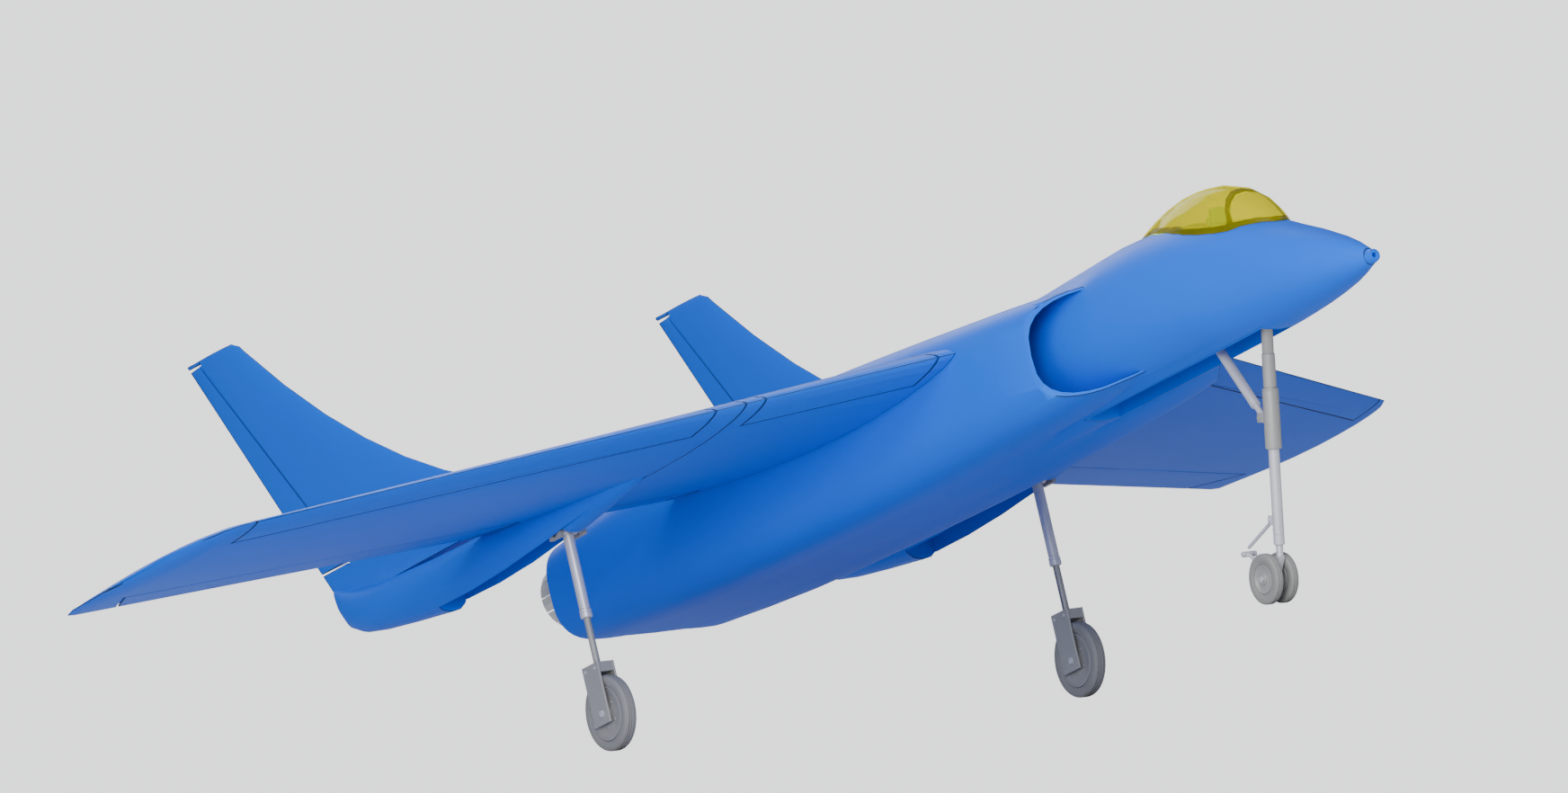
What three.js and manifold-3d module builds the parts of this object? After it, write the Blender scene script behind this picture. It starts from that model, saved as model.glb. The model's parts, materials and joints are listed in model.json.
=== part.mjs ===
// A twin ducted-fan model jet of the tailless kind: swept wing, two fins with gear pods, tall nose leg.
// Everything is drawn in the airframe's own frame, in millimetres: x to port, y aft of the nose tip,
// z up from the waterline. The finished airframe is then pitched nose-up so that its wheels touch z = 0.
import * as THREE from 'three';
import { mergeVertices } from 'three/addons/utils/BufferGeometryUtils.js';
import Module from 'manifold-3d';

const wasm = await Module();
wasm.setup();

// Driving dimensions
const GAP = 0.3; // clearance between touching pieces
const SKIN = 3; // wall of the moulded hull
const RING_POINTS = 24; // points round an outer hull section
const INNER_POINTS = 16; // and round a hidden or small one
const NOSE_START = 6; // where the moulded hull takes over from the nose ring
const HULL_END = 1185; // aft edge of the hull

const WING_Z = 65; // height of the wing's chord plane
const WING_ROOT_X = 97; // where the leading edge meets the hull
const WING_TIP_X = 590;
const WING_INSIDE_X = 74; // the root is buried this close to the centreline before trimming
const LE_ROOT_Y = 500;
const LE_SLOPE = 0.77; // aft travel of the leading edge for each millimetre outboard
const TE_ROOT_Y = 920.5; // trailing edge line at x = 0
const TE_SLOPE = 0.418;
const THICK_ROOT = 0.088; // thickness over chord
const THICK_TIP = 0.055;
const FOLD_X = 238.8; // joint between the centre section and the outer panel
const WING_BOX = [300, 1500, 0, 150]; // y and z room that holds a whole wing
const BEYOND_TIP = 700;
const EQUIPMENT_END = 700; // the equipment room stops ahead of the fans
const SPAR_Y = 790;
const SPAR_R = 6;
const SPAR_HALF = 338;

const SLAT_CHORD = 47;
const SLAT_SPANS = { inner: [107, 225], outer: [260, 576] };
const ELEVON_SPAN = [266, 576];
const ELEVON_HINGE = { slope: 0.469, y0: 828, play: 1.5 }; // y = y0 + slope * x
const BRAKE_SPAN = [108, 214];
const BRAKE_HINGE = { slope: 0.44, y0: 861, play: 2 };

const FIN_X = 242.6;
const FIN_TOP = 329;
const FIN_TE = { y: 1439.8, slope: 0.6078 };
const RUDDER = { z0: 105, z1: 324, y0: 1254.7, slope: 0.744 };

const GEAR_X = 241; // main legs, from the centreline
const MAIN_PIVOT = { y: 918, z: 38 };
const MAIN_WHEEL = { y: 914.5, z: -124, r: 32.7, w: 12 };
const MAIN_BAY = { half: 14.5, y0: 903, y1: 1116, top: 60 };
const NOSE_PIVOT = { y: 174, z: 0 };
const NOSE_RAKE = THREE.MathUtils.degToRad(17.2);
const NOSE_AXLE = { down: 223.3, aft: 11.2 }; // in the raked leg's frame
const NOSE_WHEEL = { r: 21.6, w: 8, spread: 15.5 };
const NOSE_BAY = { half: 16.85, y0: 160, step: 300, y1: 424, ramp: 444, top: 36, high: 56, wall: 1.5 };
const WHEEL_ROOM = { half: 29.5, y0: 352, z0: 2 }; // the bay widens above its slot for a turned wheel pair

const FAN_X = 57;
const FAN_Z = 40;
const FAN_R = 34;
const FAN_Y = 880;
const FAN_LENGTH = 50;
const NOZZLE_END = 1216;
const NOZZLE_R = 31;

// Materials
function paint(color, roughness, metalness = 0) {
  return new THREE.MeshStandardMaterial({ color, roughness, metalness });
}
const BLUE = paint(0x2f8fee, 0.45);
const INSIDE = paint(0x9bd7a0, 0.7);
const GLASS = paint(0xc9bd10, 0.1);
const FRAME = paint(0x6a6410, 0.5);
const METAL = paint(0xc8c8d0, 0.35, 0.8);
const DARK_METAL = paint(0x787876, 0.45, 0.6);
const TYRE = paint(0x6e6e6c, 0.8);
const NOZZLE = paint(0xc8c8c3, 0.4, 0.7);
const BLACK = paint(0x202022, 0.6);
const CARBON = paint(0x2a2a2c, 0.4);
const BATTERY_WRAP = paint(0x3a4a8a, 0.6);

const airframe = new THREE.Group();

// Turns a closed geometry into a solid for cutting and joining.
function solid(geometry) {
  const bare = geometry.clone();
  bare.deleteAttribute('normal');
  bare.deleteAttribute('uv');
  const merged = mergeVertices(bare, 1e-4);
  return new wasm.Manifold(new wasm.Mesh({
    numProp: 3,
    vertProperties: new Float32Array(merged.attributes.position.array),
    triVerts: new Uint32Array(merged.index.array),
  }));
}

function geometryOf(body) {
  const mesh = body.getMesh();
  const geometry = new THREE.BufferGeometry();
  geometry.setAttribute('position', new THREE.BufferAttribute(new Float32Array(mesh.vertProperties), 3));
  geometry.setIndex(new THREE.BufferAttribute(new Uint32Array(mesh.triVerts), 1));
  return geometry;
}

function add(name, shape, material, parent = airframe) {
  const mesh = new THREE.Mesh(shape.isBufferGeometry ? shape : geometryOf(shape), material);
  mesh.name = name;
  parent.add(mesh);
  return mesh;
}

const join = (...bodies) => bodies.reduce((a, b) => a.add(b));
const cut = (body, ...tools) => tools.reduce((a, b) => a.subtract(b), body);
const between = (a, b, t) => a + (b - a) * t;

// A closed skin over a row of rings that all have the same number of points.
function loft(rings) {
  const count = rings[0].length;
  const positions = rings.flat().flatMap((p) => [p.x, p.y, p.z]);
  const index = [];
  for (let i = 0; i < rings.length - 1; i++) {
    for (let j = 0; j < count; j++) {
      const k = (j + 1) % count;
      const [a, b, c, d] = [i * count + j, i * count + k, (i + 1) * count + k, (i + 1) * count + j];
      index.push(a, b, c, a, c, d);
    }
  }
  const last = (rings.length - 1) * count;
  for (let j = 1; j < count - 1; j++) {
    index.push(0, j + 1, j, last, last + j, last + j + 1);
  }
  if (signedVolume(positions, index) < 0) {
    index.reverse();
  }
  const geometry = new THREE.BufferGeometry();
  geometry.setAttribute('position', new THREE.Float32BufferAttribute(positions, 3));
  geometry.setIndex(index);
  return geometry;
}

function signedVolume(positions, index) {
  const at = (i) => new THREE.Vector3().fromArray(positions, index[i] * 3);
  let total = 0;
  for (let i = 0; i < index.length; i += 3) {
    total += at(i).dot(at(i + 1).cross(at(i + 2)));
  }
  return total;
}

// One hull section across the y axis: half width, top, bottom, and the height of its widest point.
// A higher power gives squarer shoulders.
function section({ x = 0, y, half, top, bottom, waist, power = 2.2 }, grow = 0, points = RING_POINTS) {
  const middle = waist ?? (top + bottom) / 2;
  const ring = [];
  for (let i = 0; i < points; i++) {
    const angle = (i / points) * 2 * Math.PI;
    const [c, s] = [Math.cos(angle), Math.sin(angle)];
    const height = s > 0 ? top - middle + grow : middle - bottom + grow;
    const px = Math.sign(c) * Math.abs(c) ** (2 / power) * (half + grow);
    const pz = Math.sign(s) * Math.abs(s) ** (2 / power) * height;
    ring.push(new THREE.Vector3(x + px, y, middle + pz));
  }
  return ring;
}

function body(stations, grow = 0, points = RING_POINTS) {
  return solid(loft(stations.map((station) => section(station, grow, points))));
}

function box(x0, x1, y0, y1, z0, z1) {
  const geometry = new THREE.BoxGeometry(x1 - x0, y1 - y0, z1 - z0);
  return geometry.translate((x0 + x1) / 2, (y0 + y1) / 2, (z0 + z1) / 2);
}

// A round bar between two points, with a radius at each end.
function bar(from, to, r0, r1 = r0, sides = 14) {
  const [a, b] = [new THREE.Vector3(...from), new THREE.Vector3(...to)];
  const along = b.clone().sub(a);
  const geometry = new THREE.CylinderGeometry(r1, r0, along.length(), sides);
  geometry.translate(0, along.length() / 2, 0);
  geometry.applyQuaternion(new THREE.Quaternion().setFromUnitVectors(
    new THREE.Vector3(0, 1, 0), along.normalize()));
  return geometry.translate(a.x, a.y, a.z);
}

// A straight-sided block over a four-cornered plan, in x and y, from z0 to z1.
function prism(corners, z0, z1) {
  const shape = new THREE.Shape(corners.map(([x, y]) => new THREE.Vector2(x, y)));
  return new THREE.ExtrudeGeometry(shape, { depth: z1 - z0, bevelEnabled: false }).translate(0, 0, z0);
}

// A turned piece round a line parallel to the y axis. The profile is a closed list of [radius, y].
function turnedAlongY(profile, x, z, sides = 24) {
  const points = [...profile, profile[0]].map(([r, y]) => new THREE.Vector2(r, y));
  return new THREE.LatheGeometry(points, sides).translate(x, 0, z);
}

// A turned piece round a line parallel to the x axis. The profile is a list of [radius, x].
function turnedAlongX(profile, x, y, z, sides) {
  const points = profile.map(([r, across]) => new THREE.Vector2(r, across));
  return new THREE.LatheGeometry(points, sides).rotateZ(-Math.PI / 2).translate(x, y, z);
}

// Hull: the nose and spine run the whole length, with a nacelle along each side.
const NOSE_STATIONS = [
  { y: NOSE_START, half: 6, top: 9.5, bottom: -5 },
  { y: 26, half: 14.5, top: 22, bottom: -9 },
  { y: 48, half: 23, top: 33.5, bottom: -12 },
  { y: 76, half: 31.5, top: 46.5, bottom: -14.5 },
  { y: 106, half: 39, top: 59, bottom: -16.5 },
  { y: 140, half: 46, top: 74, bottom: -18 },
  { y: 176, half: 52, top: 87, bottom: -18, waist: 28 },
  { y: 220, half: 58, top: 97, bottom: -18, waist: 34 },
  { y: 275, half: 63, top: 103.5, bottom: -18, waist: 40 },
  { y: 330, half: 66, top: 105, bottom: -18, waist: 42 },
  { y: 400, half: 65, top: 102, bottom: -18, waist: 42 },
  { y: 470, half: 57, top: 100.5, bottom: -19, waist: 42 },
  { y: 560, half: 43, top: 100, bottom: -20, waist: 40 },
  { y: 650, half: 31, top: 101, bottom: -20.5, waist: 36 },
  { y: 760, half: 24, top: 104, bottom: -20, waist: 36, power: 2.6 },
  { y: 900, half: 18, top: 103, bottom: -18, waist: 40, power: 2.8 },
  { y: 1040, half: 18, top: 98, bottom: -13, waist: 42, power: 2.8 },
  { y: 1120, half: 18, top: 93, bottom: -8, waist: 43, power: 2.8 },
  { y: HULL_END, half: 18, top: 84, bottom: -3, waist: 43, power: 2.8 },
];

const NACELLE_STATIONS = [
  { y: 300, outer: 80, inner: 6, top: 71, bottom: -8 },
  { y: 350, outer: 86, inner: 4, top: 78, bottom: -13.5 },
  { y: 400, outer: 90.5, inner: 2, top: 84, bottom: -16.5 },
  { y: 450, outer: 94.5, inner: 0, top: 88, bottom: -18 },
  { y: 500, outer: 97, inner: -2, top: 91.5, bottom: -19 },
  { y: 572, outer: 98, inner: -4, top: 97, bottom: -20.5 },
  { y: 644, outer: 98, inner: -4, top: 102, bottom: -21.5 },
  { y: 716, outer: 98, inner: -4, top: 106.5, bottom: -21.5 },
  { y: 790, outer: 98, inner: -4, top: 108, bottom: -20.5 },
  { y: 870, outer: 98, inner: -4, top: 107.5, bottom: -19 },
  { y: 950, outer: 98, inner: -4, top: 105, bottom: -17 },
  { y: 1030, outer: 98, inner: -4, top: 101, bottom: -14 },
  { y: 1110, outer: 98, inner: -3, top: 95, bottom: -9 },
  { y: HULL_END, outer: 97, inner: 0, top: 86, bottom: -3 },
];

const LIP = { x: 62, y: 354, sweep: 1.77 }; // the mouth's swept plane

const NACELLE_POINTS = 40;
const AIRWAY_POINTS = 32;

// Fills the grooves between the nacelles along the back and belly, level with their highest and lowest lines.
function middleFill() {
  const start = [{ y: 440, half: 26, top: 80, bottom: -12 }, { y: 500, half: 42, top: 90, bottom: -18 }];
  const rest = NACELLE_STATIONS.filter(({ y }) => y > 560).map(({ y, top, bottom }) => ({
    y, half: 47, top: top - 0.2, bottom: bottom + 0.2,
  }));
  return body([...start, ...rest].map((station) => ({ ...station, power: 8 })));
}

function nacelleStations(side) {
  return NACELLE_STATIONS.map(({ y, outer, inner, top, bottom }) => ({
    x: side * (outer + inner) / 2, y, half: (outer - inner) / 2, top, bottom, power: 3,
  }));
}

// The swept block ahead of an intake lip, which the nacelle is trimmed with.
function aheadOfLip(side) {
  const reach = 60;
  const lipAt = (x) => LIP.y + (x - LIP.x) * LIP.sweep;
  const corners = [[0, lipAt(0)], [LIP.x + reach, lipAt(LIP.x + reach)], [LIP.x + reach, 0], [0, -100]];
  const plan = corners.map(([x, y]) => [side * x, y]);
  return solid(prism(plan, -150, 200));
}

function hullOutside(grow = 0) {
  const spine = body(NOSE_STATIONS, grow);
  const nacelles = [1, -1].map((side) =>
    cut(body(nacelleStations(side), grow, NACELLE_POINTS), aheadOfLip(side)));
  return join(spine, middleFill(), ...nacelles);
}

// The airway through one nacelle, open at both ends.
function airway(side) {
  const stations = nacelleStations(side);
  const tail = stations[stations.length - 1];
  const longer = [...stations, { ...tail, y: HULL_END + 20 }];
  return body(longer, -SKIN, AIRWAY_POINTS);
}

// The equipment space in the nose, in front of the fans.
function equipmentSpace() {
  const reach = NOSE_STATIONS.filter(({ y }) => y > NOSE_START && y < EQUIPMENT_END);
  return body(reach, -SKIN, INNER_POINTS);
}

function noseBayBlock(grow = 0) {
  const { half, y0, step, y1, ramp, top, high, wall } = NOSE_BAY;
  const w = wall + grow;
  const outline = [[y0 - w, -60], [y0 - w, top + w], [step - w, top + w], [step + 6 - w, high + w],
    [y1 + w, high + w], [ramp + w, -20], [ramp + w, -60]];
  const wide = WHEEL_ROOM.half + w;
  const room = solid(box(-wide, wide, WHEEL_ROOM.y0 - w, y1 + w, WHEEL_ROOM.z0 - w, high + w));
  return join(solid(sideBlock(outline, half + w)), room);
}

// A block over an outline in y and z, spread evenly to each side of x.
function sideBlock(outline, half, x = 0) {
  const shape = new THREE.Shape(outline.map(([y, z]) => new THREE.Vector2(y, z)));
  const geometry = new THREE.ExtrudeGeometry(shape, { depth: 2 * half, bevelEnabled: false });
  geometry.translate(0, 0, -half);
  const turn = new THREE.Matrix4().makeBasis(
    new THREE.Vector3(0, 1, 0), new THREE.Vector3(0, 0, 1), new THREE.Vector3(1, 0, 0));
  return geometry.applyMatrix4(turn).translate(x, 0, 0);
}

function cockpitBlock(grow = 0) {
  const stations = [
    { y: 129 - grow, half: 9 }, { y: 142, half: 20 }, { y: 162, half: 29 }, { y: 215, half: 33 },
    { y: 262, half: 29 }, { y: 292 + grow, half: 19 },
  ];
  return body(stations.map((s) => ({ ...s, top: 200, bottom: 40 - grow, power: 6 })), 0, INNER_POINTS);
}

function sparHole() {
  return solid(bar([-SPAR_HALF - 1, SPAR_Y, WING_Z], [SPAR_HALF + 1, SPAR_Y, WING_Z], SPAR_R + GAP));
}

function buildHull() {
  const spine = body(NOSE_STATIONS);
  const shells = [1, -1].map((side) =>
    cut(body(nacelleStations(side), 0, NACELLE_POINTS), airway(side), aheadOfLip(side)));
  const middle = cut(middleFill(), airway(1), airway(-1));
  const hull = cut(join(spine, middle, ...shells), equipmentSpace(), cockpitBlock(GAP), noseBayBlock(GAP),
    sparHole());
  add('fuselage_shell', hull, BLUE);
  const tip = [[2.2, -1], [5.4, -1], [6.2, 3], [6.2, NOSE_START - GAP], [2.2, NOSE_START - GAP]];
  add('nose_ring', turnedAlongY(tip, 0, 1.5), BLUE);
}

function buildNoseBay() {
  const { half, y0, step, y1, ramp, top, high } = NOSE_BAY;
  const hollow = [[y0, -60], [y0, top], [step, top], [step + 6, high], [y1, high], [ramp, -20], [ramp, -60]];
  const room = box(-WHEEL_ROOM.half, WHEEL_ROOM.half, WHEEL_ROOM.y0, y1, WHEEL_ROOM.z0, high);
  const liner = cut(noseBayBlock(), solid(sideBlock(hollow, half)), solid(room));
  add('nose_bay_liner', liner.intersect(body(NOSE_STATIONS)), BLUE);
}

// Cockpit
const CANOPY_STATIONS = [
  { y: 122, half: 8, top: 67 },
  { y: 130, half: 18, top: 76 },
  { y: 142, half: 27, top: 88.5 },
  { y: 156, half: 33.5, top: 100.5 },
  { y: 173, half: 38, top: 110.5 },
  { y: 192, half: 40, top: 117 },
  { y: 214, half: 41, top: 120.5 },
  { y: 238, half: 39, top: 121 },
  { y: 264, half: 34, top: 119 },
  { y: 290, half: 26, top: 115.5 },
  { y: 312, half: 17, top: 111.5 },
  { y: 328, half: 8, top: 108 },
];
const CANOPY_WALL = 1.4;

function canopyBlob(grow = 0) {
  const low = 48;
  return body(CANOPY_STATIONS.map((s) => ({ ...s, bottom: 20, waist: low, power: 2.3 })), grow);
}

// The leaning slice that the windshield arch is cut from.
const ARCH = { foot: 146, lean: 24, low: 60, high: 120, width: 3.5 };

function archBlock(grow) {
  const { foot, lean, low, high, width } = ARCH;
  return solid(sideBlock([[foot - grow, low], [foot + width + grow, low],
    [foot + lean + width + grow, high], [foot + lean - grow, high]], 60));
}

function buildCockpit() {
  const inside = body([
    { y: 131, half: 7 }, { y: 143.5, half: 18 }, { y: 162, half: 27 }, { y: 215, half: 31 },
    { y: 262, half: 27 }, { y: 290, half: 17 },
  ].map((s) => ({ ...s, top: 200, bottom: 42, power: 6 })), 0, INNER_POINTS);
  add('cockpit_tub', cut(cockpitBlock(), inside).intersect(body(NOSE_STATIONS)), INSIDE);

  const hull = body(NOSE_STATIONS, GAP);
  const glassShell = cut(canopyBlob(), canopyBlob(-CANOPY_WALL), hull);
  const sillBand = body(NOSE_STATIONS, 3.4);
  const arch = archBlock(0);
  add('canopy_frame', join(glassShell.intersect(sillBand), glassShell.intersect(arch)), FRAME);
  const glass = cut(glassShell, body(NOSE_STATIONS, 3.4 + GAP), archBlock(GAP));
  const [front, rear] = splitAt(glass, ARCH.foot + 12).map(largest);
  add('windshield_glass', front, GLASS);
  add('canopy_glass', rear, GLASS);

  const seatOutline = [[178, 45], [222, 45], [222, 60], [216, 104], [203, 104], [208, 62], [178, 58]];
  add('pilot_seat', sideBlock(seatOutline, 13), INSIDE);
  const panel = [[153, 56], [160, 46], [164, 46], [164, 72], [160, 77], [153, 71]];
  add('instrument_panel', sideBlock(panel, 18), BLACK);
}

// Splits a body into what lies ahead of and behind one y.
function splitAt(whole, y) {
  const tool = (y0, y1) => solid(box(-400, 400, y0, y1, -400, 400));
  return [whole.intersect(tool(-200, y)), whole.intersect(tool(y, 1600))];
}

// Wing. A section is a row of [chord fraction, half thickness fraction] from nose to tail.
const FOIL = [[0, 0], [0.012, 0.17], [0.04, 0.37], [0.09, 0.58], [0.17, 0.79], [0.28, 0.94],
  [0.4, 1], [0.55, 0.92], [0.7, 0.7], [0.84, 0.42], [1, 0.03]];

function foilRing(nose, chord, thickness, place) {
  const half = thickness / 2;
  const upper = FOIL.map(([u, t]) => place(nose + u * chord, t * half));
  const lower = FOIL.slice(1).reverse().map(([u, t]) => place(nose + u * chord, -t * half));
  return [...upper, ...lower];
}

const leadingEdge = (x) => LE_ROOT_Y + (x - WING_ROOT_X) * LE_SLOPE;
const trailingEdge = (x) => TE_ROOT_Y + x * TE_SLOPE;

function thicknessAt(x) {
  const ratio = between(THICK_ROOT, THICK_TIP, (x - WING_ROOT_X) / (WING_TIP_X - WING_ROOT_X));
  return ratio * (trailingEdge(x) - leadingEdge(x));
}

// Half thickness of the wing at a place on it.
function halfThicknessAt(x, y) {
  const u = (y - leadingEdge(x)) / (trailingEdge(x) - leadingEdge(x));
  const i = Math.max(1, FOIL.findIndex(([f]) => f >= u));
  const [[u0, t0], [u1, t1]] = [FOIL[i - 1], FOIL[i]];
  return between(t0, t1, (u - u0) / (u1 - u0)) * thicknessAt(x) / 2;
}

function wingSection(side, x, trimNose = 0, trimTail = 0, thin = 1) {
  const nose = leadingEdge(x) + trimNose;
  const chord = trailingEdge(x) - trimTail - nose;
  return foilRing(nose, chord, thicknessAt(x) * thin, (y, z) => new THREE.Vector3(side * x, y, WING_Z + z));
}

// The whole half wing with its rounded tip.
function halfWing(side) {
  return solid(loft([
    wingSection(side, WING_INSIDE_X),
    wingSection(side, 330),
    wingSection(side, 586),
    wingSection(side, 594, 10, 4, 0.86),
    wingSection(side, 600, 34, 26, 0.62),
    wingSection(side, 603, 84, 84, 0.25),
  ]));
}

// The plan block that an edge surface is cut from. Its inner end runs fore and aft, and its outer end
// may slope inward, so that the surface can turn without touching the wing beyond it.
function edgePlan(side, x0, x1, lineAt, outside, shift, slope, spread) {
  const corners = [x0 - spread, x1 + spread].map((x) => [x, lineAt(x) + shift]);
  const far = corners.map(([x, y], i) => {
    const run = outside(x) - y;
    return [x + i * slope * run, y + run];
  });
  const plan = [...corners, far[1], far[0]].map(([x, y]) => [side * x, y]);
  return solid(prism(plan, WING_Z - 60, WING_Z + 60));
}

// The tapered round bar that lies on a hinge line between two spanwise places.
function hingeBar(side, x0, x1, lineAt, grow) {
  const radius = (x) => halfThicknessAt(x, lineAt(x)) + grow;
  const end = (x) => [side * x, lineAt(x), WING_Z];
  return solid(bar(end(x0), end(x1), radius(x0), radius(x1), 24));
}

const elevonLine = (x) => ELEVON_HINGE.y0 + ELEVON_HINGE.slope * x;
const brakeLine = (x) => BRAKE_HINGE.y0 + BRAKE_HINGE.slope * x;
const slatLine = (x) => leadingEdge(x) + SLAT_CHORD;
const farAft = (x) => trailingEdge(x) + 40;
const farAhead = (x) => leadingEdge(x) - 40;

// A trailing surface and the room it needs. Its slanted hinge swings its end faces sideways, so the
// room is longer than the surface by twice the end play.
function trailingSurface(side, span, lineAt, slope, play) {
  const [x0, x1] = span;
  const plate = edgePlan(side, x0, x1, lineAt, farAft, 0, -slope, 0);
  const room = join(edgePlan(side, x0, x1, lineAt, farAft, 0, -slope, play),
    hingeBar(side, x0 - play, x1 + play, lineAt, 0.5));
  const nose = hingeBar(side, x0, x1, lineAt, -0.15);
  return { plate, nose, room };
}

// A slat and the room it needs. It slides straight forward off a rounded fixed nose.
function slat(side, span) {
  const [x0, x1] = span;
  const wall = 1.2;
  const plate = edgePlan(side, x0, x1, slatLine, farAhead, -0.3, 0, 0);
  const core = hingeBar(side, x0 - 3, x1 + 3, slatLine, -wall);
  const room = cut(edgePlan(side, x0, x1, slatLine, farAhead, 0.3, 0, 0.6),
    hingeBar(side, x0 - 3, x1 + 3, slatLine, -wall - 0.7));
  return { plate, core, room };
}

// Fin: its leading edge sweeps up off the wing in one long curve.
const FIN_CURVE = new THREE.QuadraticBezierCurve(
  new THREE.Vector2(850, 72), new THREE.Vector2(1120, 108), new THREE.Vector2(1346, 318));
const finTail = (z) => FIN_TE.y - FIN_TE.slope * (FIN_TOP - z);
const rudderLine = (z) => RUDDER.y0 + RUDDER.slope * (z - RUDDER.z0);
const finThickness = (z) => between(14, 7.5, (z - 72) / (FIN_TOP - 72));

function finSolid(side, grow = 0) {
  const levels = FIN_CURVE.getPoints(9).map(({ x: y, y: z }) => ({ nose: y, z, thin: 1 }));
  levels.push({ nose: 1352, z: 324, thin: 0.9 }, { nose: 1364, z: FIN_TOP, thin: 0.6 });
  return solid(loft(levels.map(({ nose, z, thin }) => {
    const start = nose - grow;
    const chord = finTail(z) + grow - start;
    const place = (y, x) => new THREE.Vector3(side * FIN_X + x, y, z);
    return foilRing(start, chord, finThickness(z) * thin + 2 * grow, place);
  })));
}

const POD_STATIONS = [
  { y: 770, half: 1.5, top: 55, bottom: 51 },
  { y: 800, half: 9, top: 62, bottom: 46 },
  { y: 850, half: 15, top: 66, bottom: 39 },
  { y: 918, half: 19, top: 68, bottom: 31 },
  { y: 1002, half: 20.5, top: 69, bottom: 24 },
  { y: 1060, half: 20.5, top: 69, bottom: 21 },
  { y: 1113, half: 20, top: 70, bottom: 20.5 },
  { y: 1170, half: 19, top: 72, bottom: 27 },
  { y: 1220, half: 16.5, top: 74, bottom: 33.5 },
  { y: 1252, half: 13, top: 78, bottom: 39.5 },
  { y: 1271, half: 9.5, top: 82, bottom: 48 },
  { y: 1283, half: 6, top: 86, bottom: 63 },
  { y: 1289, half: 3, top: 88, bottom: 76 },
];

function podSolid(side, grow = 0) {
  return body(POD_STATIONS.map((s) => ({ ...s, x: side * FIN_X, power: 2.3 })), grow, INNER_POINTS);
}

function mainBay(side) {
  const { half, y0, y1, top } = MAIN_BAY;
  const x = side * GEAR_X;
  return solid(box(x - half, x + half, y0, y1, -40, top));
}

// Rudder: a tapered plate with a round nose on the hinge line.
function rudderParts(side) {
  const { z0, z1 } = RUDDER;
  const reach = 120;
  const plate = (rise, drop) => solid(sideBlock([
    [rudderLine(z0 - rise), z0 - rise], [rudderLine(z1 + rise), z1 + rise],
    [rudderLine(z1 + rise) + reach, z1 + rise - drop], [rudderLine(z0 - rise) + reach, z0 - rise],
  ], 20, side * FIN_X));
  const radius = (z) => between(2.7, 1.9, (z - z0) / (z1 - z0));
  const spindle = (rise, grow) => solid(bar(
    [side * FIN_X, rudderLine(z0 - rise), z0 - rise], [side * FIN_X, rudderLine(z1 + rise), z1 + rise],
    radius(z0) + grow, radius(z1) + grow, 16));
  return { plate: plate(0, 8), nose: spindle(0, 0), room: join(plate(1.7, 0), spindle(1.7, 1)) };
}

function buildWings() {
  const hull = hullOutside(GAP);
  for (const [side, hand] of [[1, 'left'], [-1, 'right']]) {
    const wing = halfWing(side);
    const fin = join(finSolid(side), podSolid(side));
    const finRoom = join(finSolid(side, GAP), podSolid(side, GAP));
    const elevon = trailingSurface(side, ELEVON_SPAN, elevonLine, ELEVON_HINGE.slope, ELEVON_HINGE.play);
    const brake = trailingSurface(side, BRAKE_SPAN, brakeLine, BRAKE_HINGE.slope, BRAKE_HINGE.play);
    const slats = Object.entries(SLAT_SPANS).map(([place, span]) => ({ place, ...slat(side, span) }));
    const body = cut(wing, hull, finRoom, elevon.room, brake.room, sparHole(),
      ...slats.map(({ room }) => room));
    const innerBlock = solid(box(...ordered(0, side * (FOLD_X - GAP / 2)), ...WING_BOX));
    const outerBlock = solid(box(...ordered(side * (FOLD_X + GAP / 2), side * BEYOND_TIP), ...WING_BOX));
    add(`wing_centre_${hand}`, largest(body.intersect(innerBlock)), BLUE);
    add(`wing_outer_${hand}`, largest(body.intersect(outerBlock)), BLUE);

    add(`elevon_${hand}`, largest(cut(join(wing.intersect(elevon.plate), elevon.nose), finRoom)), BLUE);
    add(`speed_brake_${hand}`, largest(cut(join(wing.intersect(brake.plate), brake.nose), finRoom, hull)),
      BLUE);
    for (const { place, plate, core } of slats) {
      add(`slat_${place}_${hand}`, largest(cut(wing.intersect(plate), core, hull)), BLUE);
    }

    const rudder = rudderParts(side);
    add(`fin_${hand}`, largest(cut(fin, mainBay(side), rudder.room, sparHole())), BLUE);
    add(`rudder_${hand}`, largest(join(finSolid(side).intersect(rudder.plate), rudder.nose)), BLUE);
  }
  add('wing_spar', bar([-SPAR_HALF, SPAR_Y, WING_Z], [SPAR_HALF, SPAR_Y, WING_Z], SPAR_R), CARBON);
}

const ordered = (a, b) => [Math.min(a, b), Math.max(a, b)];

// The biggest of the bodies that a cut leaves.
function largest(whole) {
  return whole.decompose().sort((a, b) => b.volume() - a.volume())[0];
}

// Main gear: a leg in the pod, a sprung fork and a wheel.
function grooved(r, w) {
  const bead = 0.9;
  return [[r - 2, -w / 2], [r, -w / 4], [r, -bead], [r - 1, 0], [r, bead], [r, w / 4], [r - 2, w / 2]];
}

function wheelProfile(r, w, bore) {
  return [[bore, -w / 2 + 1], ...grooved(r, w), [bore, w / 2 - 1], [bore, -w / 2 + 1]];
}

function hubProfile(rim, w, boss, bore) {
  return [[bore, -w / 2], [boss, -w / 2], [boss, -w / 2 + 1.2], [rim, -w / 2 + 1.2],
    [rim, w / 2 - 1.2], [boss, w / 2 - 1.2], [boss, w / 2], [bore, w / 2], [bore, -w / 2]];
}

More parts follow.
